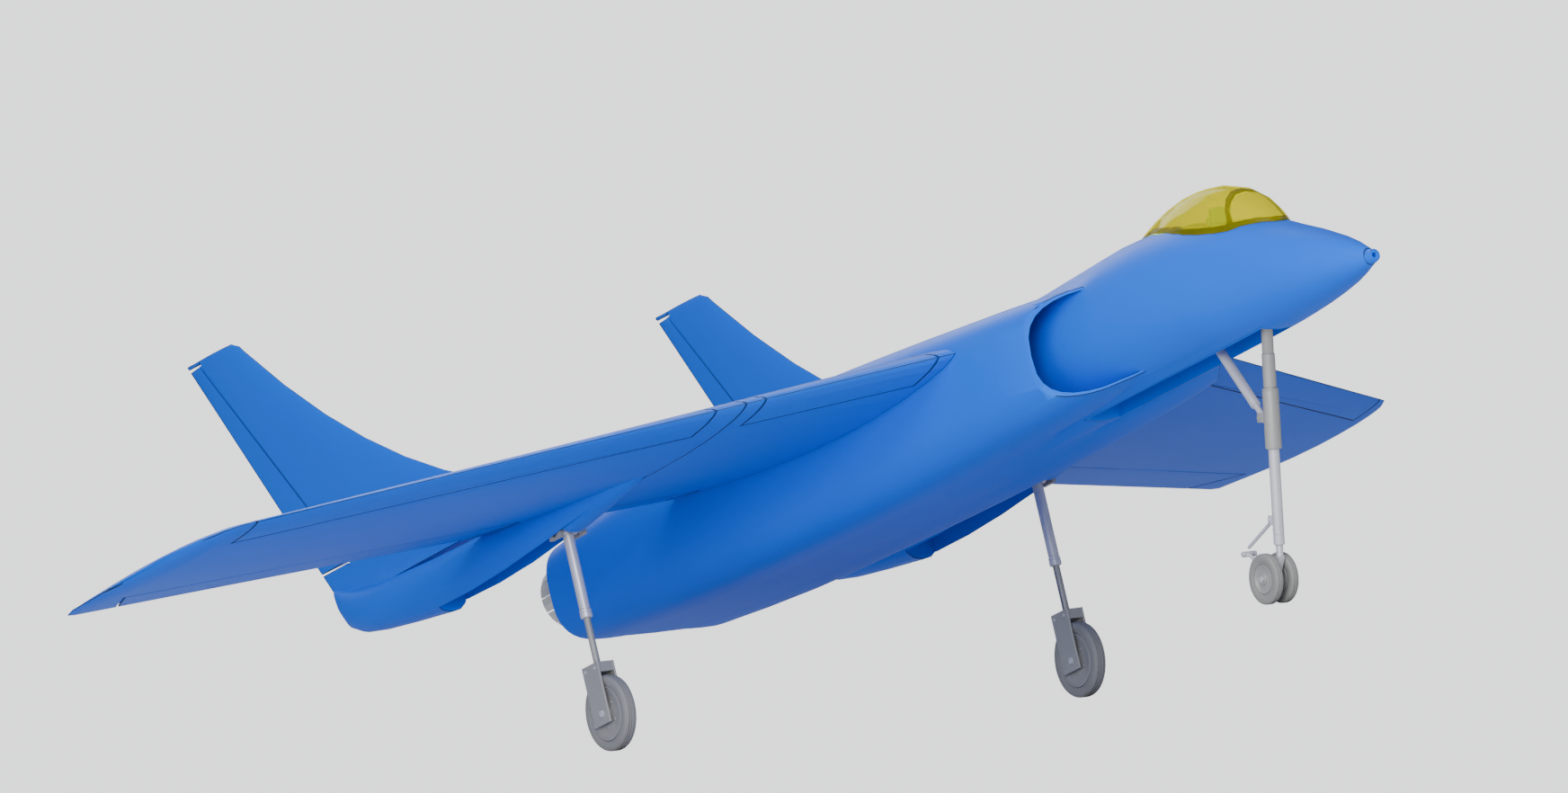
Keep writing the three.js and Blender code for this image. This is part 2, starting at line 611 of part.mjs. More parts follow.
function buildMainGear() {
  const { y, z } = MAIN_PIVOT;
  const wheel = MAIN_WHEEL;
  const forkTop = -80;
  const forkFoot = -133;
  const plateX = wheel.w / 2 + 0.8;
  for (const [side, hand] of [[1, 'left'], [-1, 'right']]) {
    const x = side * GEAR_X;
    const trunnion = bar([x - 9, y, z], [x + 9, y, z], 4);
    const leg = cut(
      join(solid(bar([x, y, z + 3], [x, y, -39], 4.75)), solid(trunnion)),
      solid(bar([x, y, 5], [x, y, -60], 3 + GAP)));
    add(`main_leg_${hand}`, leg, METAL);

    const fork = join(
      solid(bar([x, y, 4.4 - 20], [x, y, forkTop - 2], 3)),
      solid(box(x - plateX - 1.8, x + plateX + 1.8, y - 12, y + 12, forkTop - 9, forkTop)),
      solid(box(x - plateX - 1.8, x - plateX, y - 13, y + 13, forkFoot, forkTop)),
      solid(box(x + plateX, x + plateX + 1.8, y - 13, y + 13, forkFoot, forkTop)),
      solid(bar([x - plateX - 1, wheel.y, wheel.z], [x + plateX + 1, wheel.y, wheel.z], 2.5)));
    add(`main_fork_${hand}`, fork, DARK_METAL);

    const rim = wheel.r - 9;
    add(`main_tyre_${hand}`, turnedAlongX(wheelProfile(wheel.r, wheel.w, rim + GAP), x, wheel.y, wheel.z, 30),
      TYRE);
    const hub = hubProfile(rim, wheel.w - 0.4, 6, 2.5 + GAP);
    add(`main_hub_${hand}`, turnedAlongX(hub, x, wheel.y, wheel.z, 20), DARK_METAL);

    const cheek = (s) => solid(box(...ordered(x + s * 9.6, x + s * 13.8), y - 9, y + 9, z - 6, z + 20));
    const retract = cut(
      join(cheek(1), cheek(-1), solid(box(x - 13.8, x + 13.8, y - 9, y + 9, z + 8, z + 20))),
      solid(bar([x - 20, y, z], [x + 20, y, z], 4 + GAP)));
    add(`main_retract_${hand}`, retract, DARK_METAL);
  }
}

// Nose gear, drawn in its own upright frame with the pivot at the origin and then raked aft.
function buildNoseGear() {
  const leg = new THREE.Group();
  leg.position.set(0, NOSE_PIVOT.y, NOSE_PIVOT.z);
  leg.rotation.x = NOSE_RAKE;
  airframe.add(leg);
  const { down, aft } = NOSE_AXLE;
  const braceFoot = { y: 12, z: -88 };
  const socket = -114;
  const strutEnd = -195;

  const lugs = [3.1, -5.1].map((x) => solid(box(x, x + 2, 0, 15, braceFoot.z - 4, braceFoot.z + 4)));
  const barrel = cut(
    join(solid(bar([0, 0, 6], [0, 0, -33], 5)), solid(bar([0, 0, -32], [0, 0, -63], 5.6)),
      solid(bar([0, 0, -62], [0, 0, socket], 7)), solid(bar([-13, 0, 0], [13, 0, 0], 4)), ...lugs),
    solid(bar([0, 0, -75], [0, 0, -140], 4.7 + GAP)));
  add('nose_leg', barrel, DARK_METAL, leg);

  const strut = cut(
    join(solid(bar([0, 0, -80], [0, 0, strutEnd], 4.7)),
      ...[2, -4].map((x) => solid(box(x, x + 2, 0, 9, -178, -170)))),
    solid(bar([0, 0, -168], [0, 0, -210], 3 + GAP)));
  add('nose_strut', strut, METAL, leg);

  const carrier = join(
    solid(bar([0, 0, -182], [0, 0, -206], 3)),
    solid(sideBlock([[-4, -204], [4, -204], [aft + 5, -down + 5], [aft + 5, -down - 4],
      [aft - 5, -down - 4]], 2.6)),
    solid(bar([-13, aft, -down], [13, aft, -down], 2.2)));
  add('nose_axle', carrier, METAL, leg);

  for (const [side, hand] of [[1, 'left'], [-1, 'right']]) {
    const x = side * NOSE_WHEEL.spread / 2;
    const { r, w } = NOSE_WHEEL;
    const tyre = wheelProfile(r, w, 13);
    add(`nose_tyre_${hand}`, turnedAlongX(tyre, x, aft, -down, 26), TYRE, leg);
    add(`nose_hub_${hand}`, turnedAlongX(hubProfile(12.7, w - 0.4, 6, 2.2 + GAP), x, aft, -down, 16),
      DARK_METAL, leg);
  }

  const knee = { y: 46, z: -199 };
  add('torque_link_upper', link([0, 7, -174], [0, knee.y, knee.z], 1.6, 0.9), METAL, leg);
  const lower = join(solid(link([0, knee.y, knee.z - 5], [0, aft + 9, -down + 2], 1.6, 0.9)),
    solid(bar([-7, knee.y, knee.z - 5], [7, knee.y, knee.z - 5], 2.4, 2.4, 16)));
  add('torque_link_lower', lower, METAL, leg);

  const braceTop = { y: NOSE_PIVOT.y + 83, z: -3 };
  const head = new THREE.Vector3(0, braceTop.y, braceTop.z);
  leg.updateMatrix();
  const local = head.applyMatrix4(leg.matrix.clone().invert());
  const alongBrace = (t) => [0, between(braceFoot.y, local.y, t), between(braceFoot.z, local.z, t)];
  const brace = join(
    solid(bar([0, braceFoot.y, braceFoot.z], [0, local.y, local.z], 2.6)),
    solid(bar(alongBrace(0.16), [0, local.y, local.z], 4.25)),
    solid(bar([-2.7, braceFoot.y, braceFoot.z], [2.7, braceFoot.y, braceFoot.z], 3.6)),
    solid(bar([-9, local.y, local.z], [9, local.y, local.z], 3)));
  add('drag_brace', brace, METAL, leg);

  const [front, rear] = [NOSE_PIVOT.y - 10, NOSE_PIVOT.y + 10];
  const cheek = (s) => solid(box(...ordered(s * 13.4, s * 16.5), front, rear, -8, 30));
  const mount = cut(
    join(cheek(1), cheek(-1), solid(box(-16.5, 16.5, front, rear, 20, 30))),
    solid(bar([-20, NOSE_PIVOT.y, NOSE_PIVOT.z], [20, NOSE_PIVOT.y, NOSE_PIVOT.z], 4 + GAP)));
  add('nose_retract', mount, BLACK);
}

function link(from, to, r, flat) {
  return bar(from, to, r, r * flat, 10);
}

// Power: a fan in each nacelle, its thrust tube and its petalled nozzle.
function buildPower() {
  for (const [side, hand] of [[1, 'left'], [-1, 'right']]) {
    const x = side * FAN_X;
    const end = FAN_Y + FAN_LENGTH;
    const ring = [[FAN_R + 0.6, FAN_Y], [FAN_R + 2, FAN_Y], [FAN_R + 2, end], [FAN_R + 0.6, end]];
    const vanes = [0, 1, 2, 3].map((i) => {
      const blade = box(4, FAN_R + 1.2, end - 16, end - 4, -0.8, 0.8);
      return solid(blade.rotateY(i * Math.PI / 2).translate(x, 0, FAN_Z));
    });
    const motor = solid(bar([x, FAN_Y + 24, FAN_Z], [x, end + 10, FAN_Z], 14, 9));
    add(`fan_housing_${hand}`, join(solid(turnedAlongY(ring, x, FAN_Z)), motor, ...vanes), BLACK);

    const rotorEnd = FAN_Y + 22;
    const cone = [[0, FAN_Y - 8], [7, FAN_Y - 4], [12, FAN_Y + 3], [14, FAN_Y + 10], [14, rotorEnd],
      [0, rotorEnd]].map(([r, y]) => new THREE.Vector2(r, y));
    const spinner = new THREE.LatheGeometry(cone, 20).translate(x, 0, FAN_Z);
    const blades = Array.from({ length: 8 }, (_, i) => {
      const blade = new THREE.BoxGeometry(FAN_R - 13, 13, 1.3);
      blade.rotateX(THREE.MathUtils.degToRad(38));
      blade.translate(12 + (FAN_R - 13) / 2, FAN_Y + 12, 0);
      return solid(blade.rotateY(i * Math.PI / 4).translate(x, 0, FAN_Z));
    });
    add(`fan_rotor_${hand}`, join(solid(spinner), ...blades), DARK_METAL);

    const tube = [[FAN_R + 0.4, end + 0.5], [FAN_R + 1.4, end + 0.5], [NOZZLE_R - 0.2, HULL_END - 14],
      [NOZZLE_R - 1.2, HULL_END - 14]];
    add(`thrust_tube_${hand}`, turnedAlongY(tube, x, between(FAN_Z, 44, 0.5)), CARBON);

    const nozzleStart = HULL_END - 13;
    const petals = [[NOZZLE_R + 0.6, nozzleStart], [NOZZLE_R + 2.6, nozzleStart], [NOZZLE_R + 2, HULL_END],
      [NOZZLE_R - 2, NOZZLE_END], [NOZZLE_R - 4, NOZZLE_END]];
    const slits = Array.from({ length: 14 }, (_, i) => {
      const slit = box(NOZZLE_R - 8, NOZZLE_R + 8, HULL_END - 2, NOZZLE_END + 5, -0.6, 0.6);
      return solid(slit.rotateY((i / 14) * 2 * Math.PI).translate(x, 0, 44));
    });
    add(`nozzle_${hand}`, cut(solid(turnedAlongY(petals, x, 44, 28)), ...slits), NOZZLE);
  }
}

// Electrical gear on a ply tray over the nose bay.
const TRAY = { z: 61, thick: 3, y0: 325, y1: 570 };

function buildEquipment() {
  const deck = TRAY.z + TRAY.thick + GAP;
  const pad = { y: 525, sunk: 0.8 }; // the bare rear end is a little lower, to take a small box
  add('equipment_tray', join(solid(box(-26, 26, TRAY.y0, pad.y, TRAY.z, TRAY.z + TRAY.thick)),
    solid(box(-26, 26, pad.y - 1, TRAY.y1, TRAY.z, TRAY.z + TRAY.thick - pad.sunk))), INSIDE);
  add('battery_pack', box(-21, 21, 335, 465, deck, deck + 27), BATTERY_WRAP);
  add('receiver', box(-14, 14, 475, 515, deck, deck + 14), BLACK);
  for (const [side, hand] of [[1, 'left'], [-1, 'right']]) {
    const x = side * 12;
    add(`speed_controller_${hand}`, box(...ordered(x - side * 10, x + side * 10), 455, 520, 48, 60.7), BLACK);
  }
}

// Pitches the airframe so that both sets of wheels stand on z = 0, then centres it.
function standOnWheels() {
  const nose = new THREE.Vector3(0, NOSE_AXLE.aft, -NOSE_AXLE.down)
    .applyAxisAngle(new THREE.Vector3(1, 0, 0), NOSE_RAKE)
    .add(new THREE.Vector3(0, NOSE_PIVOT.y, NOSE_PIVOT.z));
  const run = MAIN_WHEEL.y - nose.y;
  const rise = MAIN_WHEEL.z - nose.z;
  const drop = MAIN_WHEEL.r - NOSE_WHEEL.r;
  const pitch = Math.atan2(rise, run) - Math.asin(drop / Math.hypot(run, rise));
  airframe.rotation.x = -pitch;
  airframe.updateMatrixWorld(true);
  const bounds = new THREE.Box3().setFromObject(airframe, true);
  airframe.position.set(0, -(bounds.min.y + bounds.max.y) / 2, -bounds.min.z);
}

buildHull();
buildNoseBay();
buildCockpit();
buildWings();
buildMainGear();
buildNoseGear();
buildPower();
buildEquipment();
standOnWheels();

const group = new THREE.Group();
group.add(airframe);

export default group;
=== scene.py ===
import json
import math
import bmesh
import bpy
from mathutils import Matrix, Vector


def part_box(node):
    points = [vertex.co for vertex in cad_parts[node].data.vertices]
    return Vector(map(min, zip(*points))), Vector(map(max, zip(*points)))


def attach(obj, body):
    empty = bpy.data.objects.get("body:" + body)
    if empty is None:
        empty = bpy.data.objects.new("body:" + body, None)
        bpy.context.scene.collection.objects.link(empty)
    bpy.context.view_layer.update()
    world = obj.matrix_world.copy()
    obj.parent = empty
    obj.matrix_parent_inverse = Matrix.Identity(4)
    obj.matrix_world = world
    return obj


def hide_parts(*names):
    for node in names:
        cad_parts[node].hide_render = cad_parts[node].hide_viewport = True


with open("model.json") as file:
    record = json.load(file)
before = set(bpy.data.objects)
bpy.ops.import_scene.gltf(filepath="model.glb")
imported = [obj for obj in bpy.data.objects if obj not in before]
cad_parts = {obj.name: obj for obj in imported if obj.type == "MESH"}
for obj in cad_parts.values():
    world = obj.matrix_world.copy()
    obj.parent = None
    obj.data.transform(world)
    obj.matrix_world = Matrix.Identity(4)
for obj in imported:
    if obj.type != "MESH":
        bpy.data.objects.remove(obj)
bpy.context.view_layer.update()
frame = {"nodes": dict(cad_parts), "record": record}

record = frame["record"]
bodyOf = {node: body for body, nodes in record["behaviour"]["bodies"].items() for node in nodes}
slotOf = {part["node"]: part["material_slot"] for part in record["subparts"]}
jointOf = {joint["name"]: joint for joint in record["behaviour"]["joints"]}
hands = ["left", "right"]
across = Vector((1, 0, 0))
upward = Vector(jointOf["main_strut_left_slide"]["axis"])   # the airframe's own up, as it stands nose high
aftward = upward.cross(across)
legUp = Vector(jointOf["nose_strut_slide"]["axis"])   # along the raked nose leg
print("frame loaded", len(frame["nodes"]), "nodes")


# camera and studio

studio = {
    "lens": 800, "sensor": 36, "frameWidth": 1.3407,
    "up": (0.0899, -0.1583, 0.9833), "back": (-0.5476, -0.8326, -0.0841),
    "lookAt": (0, 0.1846, 0.2879), "floorSize": 60, "floorDrop": 0.0004,
    "roomLight": 0.34, "backdrop": 1.9,
}


def addCamera():
    cameraData = bpy.data.cameras.new("camera")
    cameraData.lens = studio["lens"]
    cameraData.sensor_width = studio["sensor"]
    cameraData.clip_end = 200
    camera = bpy.data.objects.new("camera", cameraData)
    bpy.context.collection.objects.link(camera)
    back = Vector(studio["back"]).normalized()
    right = Vector(studio["up"]).cross(back).normalized()
    turn = Matrix((right, back.cross(right), back)).transposed()
    distance = studio["frameWidth"] * studio["lens"] / studio["sensor"]
    camera.matrix_world = Matrix.Translation(Vector(studio["lookAt"]) + back * distance) @ turn.to_4x4()
    bpy.context.scene.camera = camera


def addLight(name, place, size, watts, tint=(1, 1, 1)):
    lampData = bpy.data.lights.new(name, "AREA")
    lampData.size = size
    lampData.energy = watts
    lampData.color = tint
    lamp = bpy.data.objects.new(name, lampData)
    bpy.context.collection.objects.link(lamp)
    lamp.location = place
    lamp.rotation_euler = (Vector((0, 0, 0.25)) - Vector(place)).to_track_quat("-Z", "Y").to_euler()


def addStudio():
    world = bpy.data.worlds.new("softRoom")
    world.use_nodes = True
    nodes, links = world.node_tree.nodes, world.node_tree.links
    room = nodes["Background"]
    room.inputs["Color"].default_value = (0.80, 0.86, 1, 1)
    room.inputs["Strength"].default_value = studio["roomLight"]
    backdrop = nodes.new("ShaderNodeBackground")
    backdrop.inputs["Color"].default_value = (0.95, 0.96, 0.97, 1)
    backdrop.inputs["Strength"].default_value = studio["backdrop"]
    path = nodes.new("ShaderNodeLightPath")
    pick = nodes.new("ShaderNodeMixShader")   # the pale backdrop is seen, and a dimmer room lights the model
    links.new(path.outputs["Is Camera Ray"], pick.inputs["Fac"])
    links.new(room.outputs["Background"], pick.inputs[1])
    links.new(backdrop.outputs["Background"], pick.inputs[2])
    links.new(pick.outputs["Shader"], nodes["World Output"].inputs["Surface"])
    bpy.context.scene.world = world
    addLight("keyLight", (-1.4, -2.8, 3.2), 2.4, 110)
    addLight("frontLight", (-2.4, -3.0, 0.7), 1.6, 90)
    addLight("sideLight", (-3.6, -0.6, 1.0), 2.2, 26, (1, 0.99, 0.97))
    addLight("rimLight", (0.8, 3.2, 2.6), 2.0, 50, (0.94, 0.97, 1))
    bpy.ops.mesh.primitive_plane_add(size=studio["floorSize"], location=(0, 0, -studio["floorDrop"]))
    floor = bpy.context.object
    floor.name = "floor"
    paper = bpy.data.materials.new("paperFloor")
    paper.use_nodes = True
    nodes, links = paper.node_tree.nodes, paper.node_tree.links
    sheet = nodes["Principled BSDF"]
    sheet.inputs["Base Color"].default_value = (0.78, 0.78, 0.77, 1)
    sheet.inputs["Roughness"].default_value = 0.85
    clear = nodes.new("ShaderNodeBsdfTransparent")
    side = nodes.new("ShaderNodeNewGeometry")
    pick = nodes.new("ShaderNodeMixShader")   # seen only from above, the view can be from below it
    links.new(side.outputs["Backfacing"], pick.inputs["Fac"])
    links.new(sheet.outputs["BSDF"], pick.inputs[1])
    links.new(clear.outputs["BSDF"], pick.inputs[2])
    links.new(pick.outputs["Shader"], nodes["Material Output"].inputs["Surface"])
    floor.data.materials.append(paper)


addCamera()
addStudio()
print("camera and studio ready")


# shared shader effects

def linear(r, g, b):
    return tuple(((c / 255 + 0.055) / 1.055) ** 2.4 if c > 10 else c / 3294 for c in (r, g, b)) + (1,)


def newGroup(name, inputs, outputs):
    group = bpy.data.node_groups.new(name, "ShaderNodeTree")
    for label, kind, value in inputs:
        socket = group.interface.new_socket(name=label, in_out="INPUT", socket_type="NodeSocket" + kind)
        socket.default_value = value
    for label, kind in outputs:
        group.interface.new_socket(name=label, in_out="OUTPUT", socket_type="NodeSocket" + kind)
    return group, group.nodes.new("NodeGroupInput"), group.nodes.new("NodeGroupOutput")


def toneDriftGroup():
    # slow drift between two tones of one finish
    group, inside, outside = newGroup(
        "toneDrift",
        [("Base", "Color", (1, 1, 1, 1)), ("Shade", "Color", (0, 0, 0, 1)), ("Scale", "Float", 6)],
        [("Color", "Color"), ("Mask", "Float")])
    nodes, links = group.nodes, group.links
    place = nodes.new("ShaderNodeTexCoord")
    cloud = nodes.new("ShaderNodeTexNoise")
    cloud.inputs["Detail"].default_value = 5
    blend = nodes.new("ShaderNodeMix")
    blend.data_type = "RGBA"
    links.new(place.outputs["Object"], cloud.inputs["Vector"])
    links.new(inside.outputs["Scale"], cloud.inputs["Scale"])
    links.new(cloud.outputs["Fac"], blend.inputs["Factor"])
    links.new(inside.outputs["Base"], blend.inputs["A"])
    links.new(inside.outputs["Shade"], blend.inputs["B"])
    links.new(blend.outputs["Result"], outside.inputs["Color"])
    links.new(cloud.outputs["Fac"], outside.inputs["Mask"])
    return group


def edgeWearGroup():
    # rubbed edges, broken up by a fine noise
    group, inside, outside = newGroup(
        "edgeWear",
        [("Color", "Color", (1, 1, 1, 1)), ("Worn", "Color", (1, 1, 1, 1)), ("Amount", "Float", 0.5)],
        [("Color", "Color"), ("Mask", "Float")])
    nodes, links = group.nodes, group.links
    shape = nodes.new("ShaderNodeNewGeometry")
    ridge = nodes.new("ShaderNodeMapRange")
    ridge.inputs["From Min"].default_value = 0.53
    ridge.inputs["From Max"].default_value = 0.64
    place = nodes.new("ShaderNodeTexCoord")
    speck = nodes.new("ShaderNodeTexNoise")
    speck.inputs["Scale"].default_value = 260
    speck.inputs["Detail"].default_value = 3
    rub = nodes.new("ShaderNodeMath")
    rub.operation = "MULTIPLY"
    level = nodes.new("ShaderNodeMath")
    level.operation = "MULTIPLY"
    blend = nodes.new("ShaderNodeMix")
    blend.data_type = "RGBA"
    links.new(shape.outputs["Pointiness"], ridge.inputs["Value"])
    links.new(place.outputs["Object"], speck.inputs["Vector"])
    links.new(ridge.outputs["Result"], rub.inputs[0])
    links.new(speck.outputs["Fac"], rub.inputs[1])
    links.new(rub.outputs["Value"], level.inputs[0])
    links.new(inside.outputs["Amount"], level.inputs[1])
    links.new(level.outputs["Value"], blend.inputs["Factor"])
    links.new(inside.outputs["Color"], blend.inputs["A"])
    links.new(inside.outputs["Worn"], blend.inputs["B"])
    links.new(blend.outputs["Result"], outside.inputs["Color"])
    links.new(level.outputs["Value"], outside.inputs["Mask"])
    return group


def surfaceGrainGroup():
    # height for a bump: fine grain stretched by the Stretch vector
    group, inside, outside = newGroup(
        "surfaceGrain", [("Scale", "Float", 400), ("Stretch", "Vector", (1, 1, 1))],
        [("Height", "Float")])
    nodes, links = group.nodes, group.links
    place = nodes.new("ShaderNodeTexCoord")
    stretch = nodes.new("ShaderNodeVectorMath")
    stretch.operation = "MULTIPLY"
    grain = nodes.new("ShaderNodeTexNoise")
    grain.inputs["Detail"].default_value = 2
    links.new(place.outputs["Object"], stretch.inputs[0])
    links.new(inside.outputs["Stretch"], stretch.inputs[1])
    links.new(stretch.outputs["Vector"], grain.inputs["Vector"])
    links.new(inside.outputs["Scale"], grain.inputs["Scale"])
    links.new(grain.outputs["Fac"], outside.inputs["Height"])
    return group


toneDrift = toneDriftGroup()
edgeWear = edgeWearGroup()
surfaceGrain = surfaceGrainGroup()


# finishes

finishes = {
    "hull_blue": {
        "base": (2, 106, 236), "shade": (1, 96, 226), "worn": (60, 160, 250), "wear": 0.3, "drift": 3.5,
        "rough": (0.42, 0.52), "shine": 0.12, "grain": 900, "bump": 0.05, "stretch": (1, 1, 1)},
    "cockpit_green": {
        "base": (164, 232, 148), "shade": (150, 218, 132), "worn": (205, 240, 190), "wear": 0.4, "drift": 30,
        "rough": (0.5, 0.65), "grain": 1500, "bump": 0.12, "stretch": (1, 1, 1)},
    "canopy_yellow": {
        "base": (222, 218, 2), "shade": (210, 206, 1), "worn": (250, 244, 90), "wear": 0.02, "drift": 12,
        "rough": (0.04, 0.08), "glass": 0.3, "tint": (246, 240, 40), "shine": 0.2,
        "grain": 30, "bump": 0.01, "stretch": (1, 1, 1)},
    "canopy_frame": {
        "base": (120, 116, 6), "shade": (104, 100, 4), "worn": (190, 186, 50), "wear": 0.5, "drift": 30,
        "rough": (0.2, 0.32), "glass": 0.6, "tint": (240, 234, 60), "shine": 0.3,
        "grain": 1500, "bump": 0.08, "stretch": (1, 1, 1)},
    "bright_metal": {
        "base": (214, 214, 222), "shade": (196, 196, 206), "worn": (240, 240, 244), "wear": 0.5, "drift": 40,
        "rough": (0.28, 0.42), "metal": 0.35, "grain": 700, "bump": 0.06, "stretch": (3, 3, 0.4)},
    "gear_grey": {
        "base": (162, 162, 160), "shade": (148, 148, 146), "worn": (196, 196, 196), "wear": 0.6, "drift": 25,
        "rough": (0.38, 0.52), "metal": 0.2, "grain": 1100, "bump": 0.1, "stretch": (1, 1, 1)},
    "tyre_grey": {
        "base": (140, 140, 138), "shade": (128, 128, 126), "worn": (184, 184, 182), "wear": 0.5, "drift": 60,
        "rough": (0.62, 0.8), "grain": 1800, "bump": 0.22, "stretch": (1, 1, 1)},
    "nozzle_metal": {
        "base": (214, 214, 208), "shade": (190, 188, 182), "worn": (236, 236, 232), "wear": 0.5, "drift": 30,
        "rough": (0.3, 0.48), "metal": 0.45, "grain": 900, "bump": 0.08, "stretch": (3, 0.3, 3)},
    "black_plastic": {
        "base": (36, 36, 38), "shade": (26, 26, 28), "worn": (92, 92, 94), "wear": 0.5, "drift": 40,
        "rough": (0.42, 0.58), "grain": 1600, "bump": 0.15, "stretch": (1, 1, 1)},
    "carbon": {
        "base": (44, 44, 48), "shade": (24, 24, 26), "worn": (88, 88, 92), "wear": 0.3, "drift": 300,
        "rough": (0.22, 0.34), "coat": 0.5, "grain": 500, "bump": 0.1, "stretch": (1, 4, 1)},
    "ply": {
        "base": (208, 172, 122), "shade": (176, 138, 92), "worn": (226, 200, 160), "wear": 0.3, "drift": 40,
        "rough": (0.55, 0.7), "grain": 300, "bump": 0.15, "stretch": (6, 0.5, 6)},
    "seam_dark": {
        "base": (14, 34, 62), "shade": (10, 24, 46), "worn": (30, 60, 100), "wear": 0.3, "drift": 60,
        "rough": (0.6, 0.75), "grain": 1200, "bump": 0.1, "stretch": (1, 1, 1)},
    "battery_wrap": {
        "base": (46, 58, 128), "shade": (36, 46, 108), "worn": (96, 108, 176), "wear": 0.4, "drift": 20,
        "rough": (0.25, 0.4), "grain": 120, "bump": 0.2, "stretch": (1, 1, 1)},
}


def makeFinish(name, look):
    material = bpy.data.materials.new(name)
    material.use_nodes = True
    nodes, links = material.node_tree.nodes, material.node_tree.links
    shader = nodes["Principled BSDF"]
    tone = nodes.new("ShaderNodeGroup")
    tone.node_tree = toneDrift
    tone.inputs["Base"].default_value = linear(*look["base"])
    tone.inputs["Shade"].default_value = linear(*look["shade"])
    tone.inputs["Scale"].default_value = look["drift"]
    wear = nodes.new("ShaderNodeGroup")
    wear.node_tree = edgeWear
    wear.inputs["Worn"].default_value = linear(*look["worn"])
    wear.inputs["Amount"].default_value = look["wear"]
    grain = nodes.new("ShaderNodeGroup")
    grain.node_tree = surfaceGrain
    grain.inputs["Scale"].default_value = look["grain"]
    grain.inputs["Stretch"].default_value = look["stretch"]
    gloss = nodes.new("ShaderNodeMapRange")
    gloss.inputs["To Min"].default_value = look["rough"][0]
    gloss.inputs["To Max"].default_value = look["rough"][1]
    bump = nodes.new("ShaderNodeBump")
    bump.inputs["Strength"].default_value = look["bump"]
    bump.inputs["Distance"].default_value = 0.0004
    links.new(tone.outputs["Color"], wear.inputs["Color"])
    links.new(wear.outputs["Color"], shader.inputs["Base Color"])
    links.new(tone.outputs["Mask"], gloss.inputs["Value"])
    links.new(gloss.outputs["Result"], shader.inputs["Roughness"])
    links.new(grain.outputs["Height"], bump.inputs["Height"])
    links.new(bump.outputs["Normal"], shader.inputs["Normal"])
    shader.inputs["Metallic"].default_value = look.get("metal", 0)
    shader.inputs["Coat Weight"].default_value = look.get("coat", 0)
    shader.inputs["Specular IOR Level"].default_value = look.get("shine", 0.5)
    if look.get("glass"):
        through = nodes.new("ShaderNodeBsdfTransparent")
        through.inputs["Color"].default_value = linear(*look["tint"])
        pick = nodes.new("ShaderNodeMixShader")
        pick.inputs["Fac"].default_value = look["glass"]
        links.new(through.outputs["BSDF"], pick.inputs[1])
        links.new(shader.outputs["BSDF"], pick.inputs[2])
        links.new(pick.outputs["Shader"], nodes["Material Output"].inputs["Surface"])
    return material


materials = {name: makeFinish(name, look) for name, look in finishes.items()}
print("finishes ready", len(materials))


# modelling helpers

def deselectAll():
    if bpy.context.object and bpy.context.object.mode != "OBJECT":
        bpy.ops.object.mode_set(mode="OBJECT")
    bpy.ops.object.select_all(action="DESELECT")


def activate(piece):
    deselectAll()
    piece.select_set(True)
    bpy.context.view_layer.objects.active = piece


def applyModifier(piece, kind, **settings):
    activate(piece)
    modifier = piece.modifiers.new(kind.lower(), kind)
    for key, value in settings.items():
        setattr(modifier, key, value)
    bpy.ops.object.modifier_apply(modifier=modifier.name)


def smooth(piece, angle):
    activate(piece)
    bpy.ops.object.shade_smooth_by_angle(angle=math.radians(angle))


def finishPiece(piece, slot, body, replaced=()):
    piece.data.materials.clear()
    piece.data.materials.append(materials[slot])
    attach(piece, body)
    if replaced:
        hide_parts(*replaced)
    return piece


def nodeCopy(node, name):
    # a merged copy of a frame node, ready for edge rounding
    source = frame["nodes"][node]
    activate(source)
    bpy.ops.object.duplicate()
    piece = bpy.context.object
    piece.name = name
    piece.parent = None
    piece.matrix_world = Matrix.Identity(4)
    activate(piece)
    bpy.ops.object.mode_set(mode="EDIT")
    bpy.ops.mesh.select_all(action="SELECT")
    bpy.ops.mesh.remove_doubles(threshold=0.00001)
    bpy.ops.mesh.dissolve_limited(angle_limit=math.radians(0.4))
    bpy.ops.object.mode_set(mode="OBJECT")
    return piece


# carried-over shells: merged, rounded and smoothed

shells = {
    "wide": {"angle": 32, "round": 0, "nodes": [
        "nose_bay_liner", "canopy_frame", "windshield_glass", "canopy_glass", "cockpit_tub"]},
    "hull": {"angle": 38, "round": 0.0006, "seam": True, "nodes": ["fuselage_shell"]},
    "gear": {"angle": 40, "round": 0.0005, "nodes": [
        "nose_axle", "torque_link_upper", "torque_link_lower", "drag_brace", "nose_retract",
        "equipment_tray", "battery_pack", "receiver", "wing_spar"]},
    "sidesWide": {"angle": 32, "round": 0, "nodes": [
        "nozzle", "thrust_tube", "fan_housing", "fan_rotor"]},
    "sidesPanels": {"angle": 32, "round": 0.0006, "seam": True, "nodes": [
        "wing_centre", "wing_outer", "elevon", "speed_brake", "slat_inner", "slat_outer", "fin", "rudder"]},
    "sidesGear": {"angle": 40, "round": 0.0005, "nodes": ["main_fork", "main_retract", "speed_controller"]},
}


def markRidges(piece):
    # outward edges sharper than 50 degrees take the bevel, inward corners stay as they are
    shape = bmesh.new()
    shape.from_mesh(piece.data)
    weight = shape.edges.layers.float.new("bevel_weight_edge")
    for edge in shape.edges:
        if edge.is_manifold and edge.is_convex and edge.calc_face_angle(0) > math.radians(50):
            edge[weight] = 1
    shape.to_mesh(piece.data)
    shape.free()


